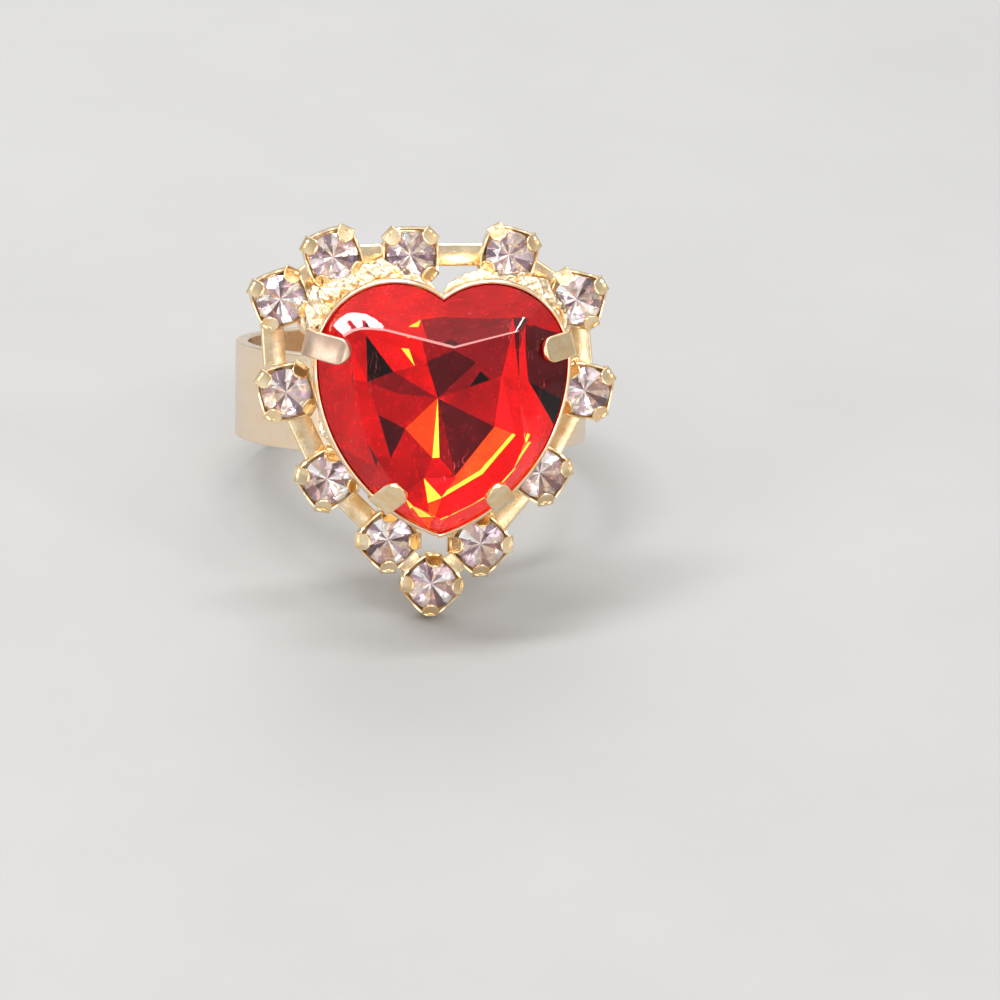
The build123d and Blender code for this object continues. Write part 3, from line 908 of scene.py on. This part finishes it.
def heart_stone_shell():
    """Heart cut: the crown's rows, closed over the table, and a back of two rings of flat cuts
    that fall to the culet."""
    grid, worn_highlit = crown_rows()
    count, columns = grid.shape[:2]
    faces = grid_faces(count, columns).tolist()
    # The worn bevel takes look 2, whose pale colour paints a highlight along the edge
    looks = np.where(worn_highlit, 2, 0).tolist() * 2 + [0] * (3 * columns)
    smooth = [True] * len(faces)
    faces.append(list(range(columns))[::-1])
    looks.append(0)
    smooth.append(False)
    tones = [PLAIN] * len(faces)
    back = BACK_CORNERS * [1, 1, -HEART_PAVILION_DEPTH] + [0, 0, GIRDLE_LOW]
    points = np.concatenate([grid.reshape(-1, 3), back])
    first = count * columns
    girdle = list(range(first - columns, first))
    ring = [first + k for k in MIDDLE_RING]
    for triangle in bridge(girdle, ring, points[girdle], points[ring]):
        faces.append(triangle)
        # Each outer cut gets its painted reflection tone
        tones.append(rim_reflection_tone(*points[triangle].mean(0)[:2]))
        smooth.append(True)
    for corners, tone in BACK_CUTS:
        for k in range(1, len(corners) - 1):
            faces.append([first + corners[0], first + corners[k], first + corners[k + 1]])
            tones.append(tone)
            smooth.append(False)
    looks += [1] * (len(faces) - len(looks))
    return points, faces, looks, smooth, tones


jewel_looks = [red_glass, red_foil, worn_highlit_edge]
add_piece("heart_jewel", [heart_stone_shell()], jewel_looks, ["heart_stone"], 5)


def solder_shells():
    """Solder beds: a flat tube along the outline at out(s) from it, whose radius r(s, a) is the
    bed's radius times a sum of lumps, each a sine along the outline times a sine round the tube:
    1 + 0.20 sin(23 s + 1.3 sin(9 s)) sin(4 a + 2 sin(5 s))
    + 0.13 sin(13 s + sin(11 s)) cos(2 a + 3 s) + 0.08 sin(37 s + 2 sin(7 s)) sin(7 a + 11 s),
    with s a third of the millimetres along, closing to nothing at both ends."""
    shells = []
    for side, height, rows in SOLDER_BEDS:
        rows = np.array(rows)
        along = np.linspace(rows[0, 0], rows[-1, 0], 150)
        out, radius = (np.interp(along, rows[:, 0], rows[:, k]) for k in (1, 2))
        end = np.minimum(along - along[0], along[-1] - along) * HALF_LENGTH
        close = np.sqrt(1 - (1 - np.clip(end / 0.35, 0.01, 1)) ** 2)
        a = np.linspace(0, 2 * np.pi, 54, endpoint=False)[None, :]
        s = along[:, None] * HALF_LENGTH / 3
        lumps = 1 + 0.20 * np.sin(23 * s + 1.3 * np.sin(9 * s)) * np.sin(4 * a + 2 * np.sin(5 * s))
        lumps = lumps + 0.13 * np.sin(13 * s + np.sin(11 * s)) * np.cos(2 * a + 3 * s)
        lumps = lumps + 0.08 * np.sin(37 * s + 2 * np.sin(7 * s)) * np.sin(7 * a + 11 * s)
        r = (radius * close)[:, None] * lumps
        x, y, _ = outline(side, along[:, None], out[:, None] + 1.15 * r * np.cos(a))
        z = height + 0.8 * r * np.sin(a)
        shells.append(tube(np.stack([x, y, z], -1), 2))
    return shells


setting = setting_shells() + heart_claw_shells() + solder_shells()
setting_looks = [rim_gold, claw_gold, solder_gold, worn_shaded_gold]
add_piece("heart_claw_setting", setting, setting_looks, ["heart_setting"], 50)

# Chain of cups


def cup_centres():
    """Centres of the cups, and the turn of each: claws midway between its two strips."""
    out = CUP_OUTER + CUPS[:, 2] * 2 * CUP_OUTER
    x, y, _ = outline(CUPS[:, 0], CUPS[:, 1], out)
    centres = np.stack([x, y], -1)
    before, after = centres[TIP_CUP - 1], centres[TIP_CUP + 1]
    half = np.linalg.norm(after - before) / 2
    reach = max(2 * (CLAW_OUTER + PIECE_GAP) + TIP_LINK_LENGTH, half)
    centres[TIP_CUP] = (before + after) / 2 - [0, math.sqrt(reach**2 - half**2)] + TIP_SHIFT
    step = np.roll(centres, -1, 0) - centres
    link = np.degrees(np.arctan2(step[:, 1], step[:, 0]))
    first = np.radians(4 * (link - 45))
    second = np.radians(4 * (np.roll(link, 1) + 180 - 45))
    turn = np.degrees(np.arctan2(np.sin(first) + np.sin(second), np.cos(first) + np.cos(second))) / 4
    return centres, turn, link, np.linalg.norm(step, axis=1)


def cup_shells(stand):
    """Square-shouldered cup: a profile of out and height carried round a rounded square, whose
    radius at an angle is that of |x|^n + |y|^n = half^n, with a rim that rises to the corners,
    and a wide claw at each corner that stands out from the wall and folds over the stone."""
    top = ROUND_GIRDLE_LOW - 0.16
    profile = np.array([
        [-0.22, 0.0, 0.0],
        [-0.06, 0.02, 0.0],
        [0.0, 0.09, 0.0],
        [0.02, 0.50, 0.2],
        [0.0, top - 0.10, 0.8],
        [0.02, top - 0.04, 1.0],
        [0.0, top, 1.0],
        [-0.08, top + 0.01, 1.0],
        [-0.12, top - 0.03, 1.0],
        [-0.13, CUP_FLOOR + 0.1, 0.1],
        [-0.20, CUP_FLOOR, 0.0],
    ])
    angle = np.linspace(0, 2 * np.pi, 72, endpoint=False)[None, :]
    tilted = angle + np.pi / 4
    n = CUP_SQUARENESS
    square = CUP_FLAT * (np.abs(np.cos(tilted)) ** n + np.abs(np.sin(tilted)) ** n) ** (-1 / n)
    out, height, rise = (profile[:, k][:, None] for k in range(3))
    radius = square + out
    corner = 0.5 + 0.5 * np.cos(4 * angle)
    z = height + rise * (CUP_RIM_RISE * corner**2 - 0.02)
    shells = [tube(np.stack([radius * np.cos(angle), radius * np.sin(angle), z], -1))]
    slope = math.radians(CUP_CLAW_SLOPE)
    t = CUP_CLAW_THICKNESS
    edge = STONE_RADIUS
    stand = stand - t / 2
    lift = ROUND_GIRDLE_TOP + (CLAW_CLEARANCE + t / 2) / math.cos(slope)
    corners = [
        (CUP_OUTER + 0.10, 0.05),
        (stand - 0.03, 0.50),
        (stand, lift - (stand - edge) * 1.15),
        (edge - 0.02, lift + 0.02),
        (edge - CUP_CLAW_REACH, lift + CUP_CLAW_REACH * math.tan(slope)),
    ]
    claw = claw_shell(corners, CUP_CLAW_WIDTH, t, bend=0.10, edge=0.05, waist=0.90, arch=0.08)
    return shells + [place(claw, turn_about_z(90 * k), (0, 0, 0)) for k in range(4)]


def ring_points(count, radius, height, turn):
    """Corners of a regular ring about z."""
    angle = np.radians(turn) + np.arange(count) * 2 * np.pi / count
    return np.stack([radius * np.cos(angle), radius * np.sin(angle), np.full(count, height)], -1)


# Tones of a round stone's back, painted reflections: one for each of its cuts in turn, white sparkles
# to dark cuts, and their share of painted glow
PAINTED_PETAL_REFLECTIONS = [
    (1.00, 1.00, 1.00),
    (0.56, 0.42, 0.47),
    (1.00, 0.97, 0.93),
    (0.90, 0.74, 0.80),
    (0.24, 0.18, 0.22),
    (1.00, 0.98, 0.98),
    (0.82, 0.66, 0.72),
    (0.70, 0.55, 0.46),
    (1.00, 1.00, 1.00),
    (0.50, 0.38, 0.42),
    (1.00, 0.95, 0.88),
    (0.30, 0.20, 0.23),
    (0.88, 0.74, 0.80),
    (1.00, 1.00, 1.00),
    (0.62, 0.48, 0.52),
    (1.00, 0.97, 0.93),
]
PAINTED_PETAL_GLOW = 0.12


def round_stone_shell(shift):
    """Round cut from rings of corners: an eight-sided table, stars and mains down to a
    sixteen-sided girdle, and a mirrored back of sixteen cuts that fall to one point."""
    rings = [
        ring_points(8, 0.56 * STONE_RADIUS, ROUND_TABLE, 0),
        ring_points(8, 0.76 * STONE_RADIUS, ROUND_TABLE - 0.36 * ROUND_CROWN_HEIGHT, 22.5),
        ring_points(16, STONE_RADIUS, ROUND_GIRDLE_TOP, 0),
        ring_points(16, STONE_RADIUS, ROUND_GIRDLE_LOW, 0),
        np.array([[0.0, 0.0, ROUND_GIRDLE_LOW - ROUND_PAVILION_DEPTH]]),
    ]
    table, star, high, low, culet = np.cumsum([0] + [len(r) for r in rings])[:-1]
    k = np.arange(8)
    after, before = (k + 1) % 8, (k - 1) % 8
    main, half, last = 2 * k, 2 * k + 1, (2 * k - 1) % 16
    n = np.arange(16)
    front = [
        np.stack([table + k, star + k, table + after], -1),
        np.stack([table + k, star + before, high + main, star + k], -1),
        np.stack([high + main, high + half, star + k], -1),
        np.stack([high + last, high + main, star + before], -1),
        np.stack([high + n, high + (n + 1) % 16, low + (n + 1) % 16, low + n], -1),
    ]
    rear = np.stack([low + n, low + (n + 1) % 16, np.full(16, culet)], -1)
    faces = [list(range(8))]
    for group in front:
        faces += group.tolist()
    looks = [0] * len(faces)
    looks += [1] * 16
    # Each back cut gets its painted reflection tone and painted glow
    painted_petals = PAINTED_PETAL_REFLECTIONS[shift:] + PAINTED_PETAL_REFLECTIONS[:shift]
    tones = [PLAIN] * len(faces) + [(*tone, PAINTED_PETAL_GLOW) for tone in painted_petals]
    faces += rear.tolist()
    return np.concatenate(rings), faces, looks, [False] * len(faces), tones


def link_shell(length, roll, middle, angle):
    """Flat strip between two cups: a rounded rectangle carried along x, arched across by
    arch (1 - (2 y / width)^2), then rolled about its own length and turned into line."""
    t = np.linspace(-0.5, 0.5, 13)
    section = rounded_section(LINK_WIDTH, LINK_THICKNESS, 0.07, 4, 0.04)
    middle_points = np.linspace(-0.42, 0.42, 9)[:, None] * [LINK_WIDTH, 0]
    low = middle_points - [0, LINK_THICKNESS / 2]
    high = middle_points[::-1] + [0, LINK_THICKNESS / 2]
    top = section[:, 1] > 0
    right = section[:, 0] > 0
    upper = [section[right & top], high, section[~right & top]]
    lower = [section[~right & ~top], low, section[right & ~top]]
    section = np.concatenate(upper + lower)
    x = np.broadcast_to((t * length)[:, None], (len(t), len(section)))
    y = np.broadcast_to(section[None, :, 0], x.shape)
    z = section[None, :, 1] + STRIP_ARCH * (0.5 - (2 * y / LINK_WIDTH) ** 2)
    c, s = math.cos(math.radians(roll)), math.sin(math.radians(roll))
    shell = tube(np.stack([x, y * c - z * s, y * s + z * c], -1))
    return place(shell, turn_about_z(angle), middle)


def add_chain():
    """The twelve cups, their stones and the strips between them, clockwise from the upper left."""
    centres, turns, link_angles, steps = cup_centres()
    afters = np.roll(centres, -1, 0)
    for k, (x, y) in enumerate(centres):
        number = f"{k + 1:02d}"
        seat = (x, y, CUP_BASE)
        turn = turn_about_z(turns[k])
        cup = cup_shells(CUP_CLAW_STAND - TIP_CLAW_TUCK * (k == TIP_CUP))
        shells = [place(shell, turn, seat) for shell in cup]
        add_piece(f"claw_cup_{number}", shells, [claw_gold], [f"cup_{number}"], 50)

        stone_turn = turn_about_z(turns[k] + STONE_TURNS[k])
        stone = place(round_stone_shell(5 * k % 16), stone_turn, seat)
        looks = [clear_glass, clear_foil]
        add_piece(f"round_jewel_{number}", [stone], looks, [f"round_stone_{number}"])

        middle = np.append((centres[k] + afters[k]) / 2, CUP_BASE + LINK_ABOVE_CUP_BASE)
        middle[0] += STRIP_SHIFT.get(k, 0.0)
        length = steps[k] - 2 * CUP_FLAT + 2 * STRIP_OVERLAP
        strip = link_shell(length, CUPS[k, 3], middle, link_angles[k])
        add_piece(f"strip_{number}", [strip], [strip_gold], [f"link_{number}"], 50)


add_chain()

# Floor, light and camera

# The floor: half its side in metres, and its two greys
FLOOR_HALF = 6.0
FLOOR_DEEP = (0.335, 0.332, 0.327)
FLOOR_PALE = (0.352, 0.349, 0.344)

# The surround's greys at the horizon, a little above it and overhead
HORIZON = (0.52, 0.51, 0.50)
LOW_SKY = (0.50, 0.495, 0.485)
ZENITH = (1.34, 1.325, 1.305)

# The photo's camera: how far it is turned to the right of the heart's face, above it and about
# its own line, in degrees, its distance in millimetres, the pixels to the millimetre at the heart,
# the pixel of the heart's middle and the picture's width in pixels
CAMERA_TURN = (-8.0, 8.0, 1.0)
CAMERA_DISTANCE = 190.0
PIXELS_PER_MM = 20.6
HEART_AT = (442.0, 409.0)
PICTURE = 1000

# Colours of the lights
DAYLIGHT = (0.97, 0.98, 1.0)
COOL = (0.98, 0.99, 1.0)
WHITE = (1.0, 1.0, 1.0)
SOFT_WHITE = (1.0, 0.99, 0.97)
CREAM = (1.0, 0.98, 0.95)
PALE_WARM = (1.0, 0.97, 0.94)
WARM = (1.0, 0.97, 0.92)

# Directions of a light's width in the row frame, the last one along the window above
ALONG_X = (1, 0, 0)
ALONG_Y = (0, 1, 0)
ALONG_PANES = (0.97, 0.24, 0.10)

# Soft boxes: name, direction from the heart, distance and size in metres, watts, colour and the
# direction of the width
BOXES = [
    ("window_above_left", (-0.385, 0.085, 0.919), 0.415, (0.147, 0.049), 0.73, DAYLIGHT, ALONG_PANES),
    ("window_above_middle", (-0.082, 0.211, 0.974), 0.401, (0.082, 0.032), 0.27, DAYLIGHT, ALONG_PANES),
    ("window_above_right", (0.104, 0.264, 0.959), 0.415, (0.078, 0.032), 0.25, DAYLIGHT, ALONG_PANES),
    ("back_panel", (0.0, 0.70, 0.71), 0.45, (0.30, 0.20), 0.50, COOL, ALONG_X),
    ("front_left_fill", (-0.36, -0.90, 0.25), 0.60, (0.28, 0.34), 0.50, SOFT_WHITE, ALONG_X),
    ("front_right_fill", (0.57, -0.78, 0.28), 0.60, (0.25, 0.34), 0.42, SOFT_WHITE, ALONG_X),
    ("side_fill", (-0.80, -0.56, 0.22), 0.55, (0.26, 0.26), 0.20, PALE_WARM, ALONG_Y),
    ("window_left", (-0.70, -0.50, 0.50), 0.45, (0.08, 0.08), 0.26, CREAM, ALONG_Y),
    ("window_right", (0.60, -0.50, 0.62), 0.45, (0.06, 0.06), 0.25, WARM, ALONG_Y),
    ("window_high", (0.10, -0.70, 0.70), 0.45, (0.05, 0.05), 0.20, WHITE, ALONG_X),
]


def floor():
    """Plain pale floor, wide enough to fill every view."""
    mesh = bpy.data.meshes.new("studio_floor")
    h = FLOOR_HALF
    mesh.from_pydata([(-h, -h, 0), (h, -h, 0), (h, h, 0), (-h, h, 0)], [], [(0, 1, 2, 3)])
    plane = bpy.data.objects.new("studio_floor", mesh)
    bpy.context.scene.collection.objects.link(plane)
    look, tree, shader = new_look("pale_floor")
    place_in = node(tree, "ShaderNodeTexCoord").outputs["Object"]
    mottle = noise(tree, place_in, 60.0, 5.0, 0.6)
    tone = ramp(tree, mottle, [(0.3, FLOOR_DEEP), (0.7, FLOOR_PALE)])
    set_values(shader, Base_Color=tone, Roughness=0.65)
    mesh.materials.append(look)


def softbox(name, direction, distance, size, power, colour, along):
    """Area light that faces the heart from a direction in the row frame, with its width along
    the given direction."""
    aim = Vector(to_row([0, 0, GIRDLE_TOP]))
    light = bpy.data.lights.new(name, "AREA")
    light.shape = "RECTANGLE"
    light.size, light.size_y = size
    light.energy = power
    light.color = colour
    lamp = bpy.data.objects.new(name, light)
    back = Vector(direction).normalized()
    lamp.location = aim + back * distance
    wide = (Vector(along) - back * back.dot(Vector(along))).normalized()
    turned = Matrix((wide, back.cross(wide), back)).transposed()
    lamp.rotation_euler = turned.to_euler()
    bpy.context.scene.collection.objects.link(lamp)


def camera():
    """The photograph's view: from a little to the left of and above the heart's own face."""
    side, rise, roll = np.radians(CAMERA_TURN)
    away = np.array([math.sin(side) * math.cos(rise), math.sin(rise), math.cos(side) * math.cos(rise)])
    right = np.array([math.cos(side), 0, -math.sin(side)])
    above = np.cross(away, right)
    right, above = (
        math.cos(roll) * right + math.sin(roll) * above,
        -math.sin(roll) * right + math.cos(roll) * above,
    )
    shift_x = (HEART_AT[0] - PICTURE / 2) / PIXELS_PER_MM
    shift_y = (PICTURE / 2 - HEART_AT[1]) / PIXELS_PER_MM
    aim = np.array([0, 0, (GIRDLE_LOW + GIRDLE_TOP) / 2])
    eye = aim + CAMERA_DISTANCE * away - shift_x * right - shift_y * above
    axes = np.stack([right, above, away]) @ np.stack([ACROSS, UP, OUT])
    lens = bpy.data.cameras.new("photo_camera")
    lens.sensor_width = 36.0
    lens.lens = PIXELS_PER_MM * CAMERA_DISTANCE * lens.sensor_width / PICTURE
    lens.clip_start, lens.clip_end = 0.01, 50.0
    eye_object = bpy.data.objects.new("photo_camera", lens)
    eye_object.matrix_world = Matrix.Translation(to_row(eye)) @ Matrix(axes.T.tolist()).to_4x4()
    bpy.context.scene.collection.objects.link(eye_object)
    bpy.context.scene.camera = eye_object


def studio_world():
    """Soft grey surround that grows lighter towards the ceiling."""
    world = bpy.data.worlds.new("studio")
    bpy.context.scene.world = world
    world.use_nodes = True
    tree = world.node_tree
    place_in = node(tree, "ShaderNodeTexCoord").outputs["Generated"]
    parts = node(tree, "ShaderNodeSeparateXYZ", Vector=place_in)
    height = span(tree, parts.outputs["Z"], -0.1, 1.0, 0.0, 1.0)
    sky = ramp(tree, height, [(0.0, HORIZON), (0.3, LOW_SKY), (1.0, ZENITH)])
    set_values(tree.nodes["Background"], Color=sky)


floor()
studio_world()
for box in BOXES:
    softbox(*box)
camera()

bpy.context.scene.view_settings.view_transform = "Standard"
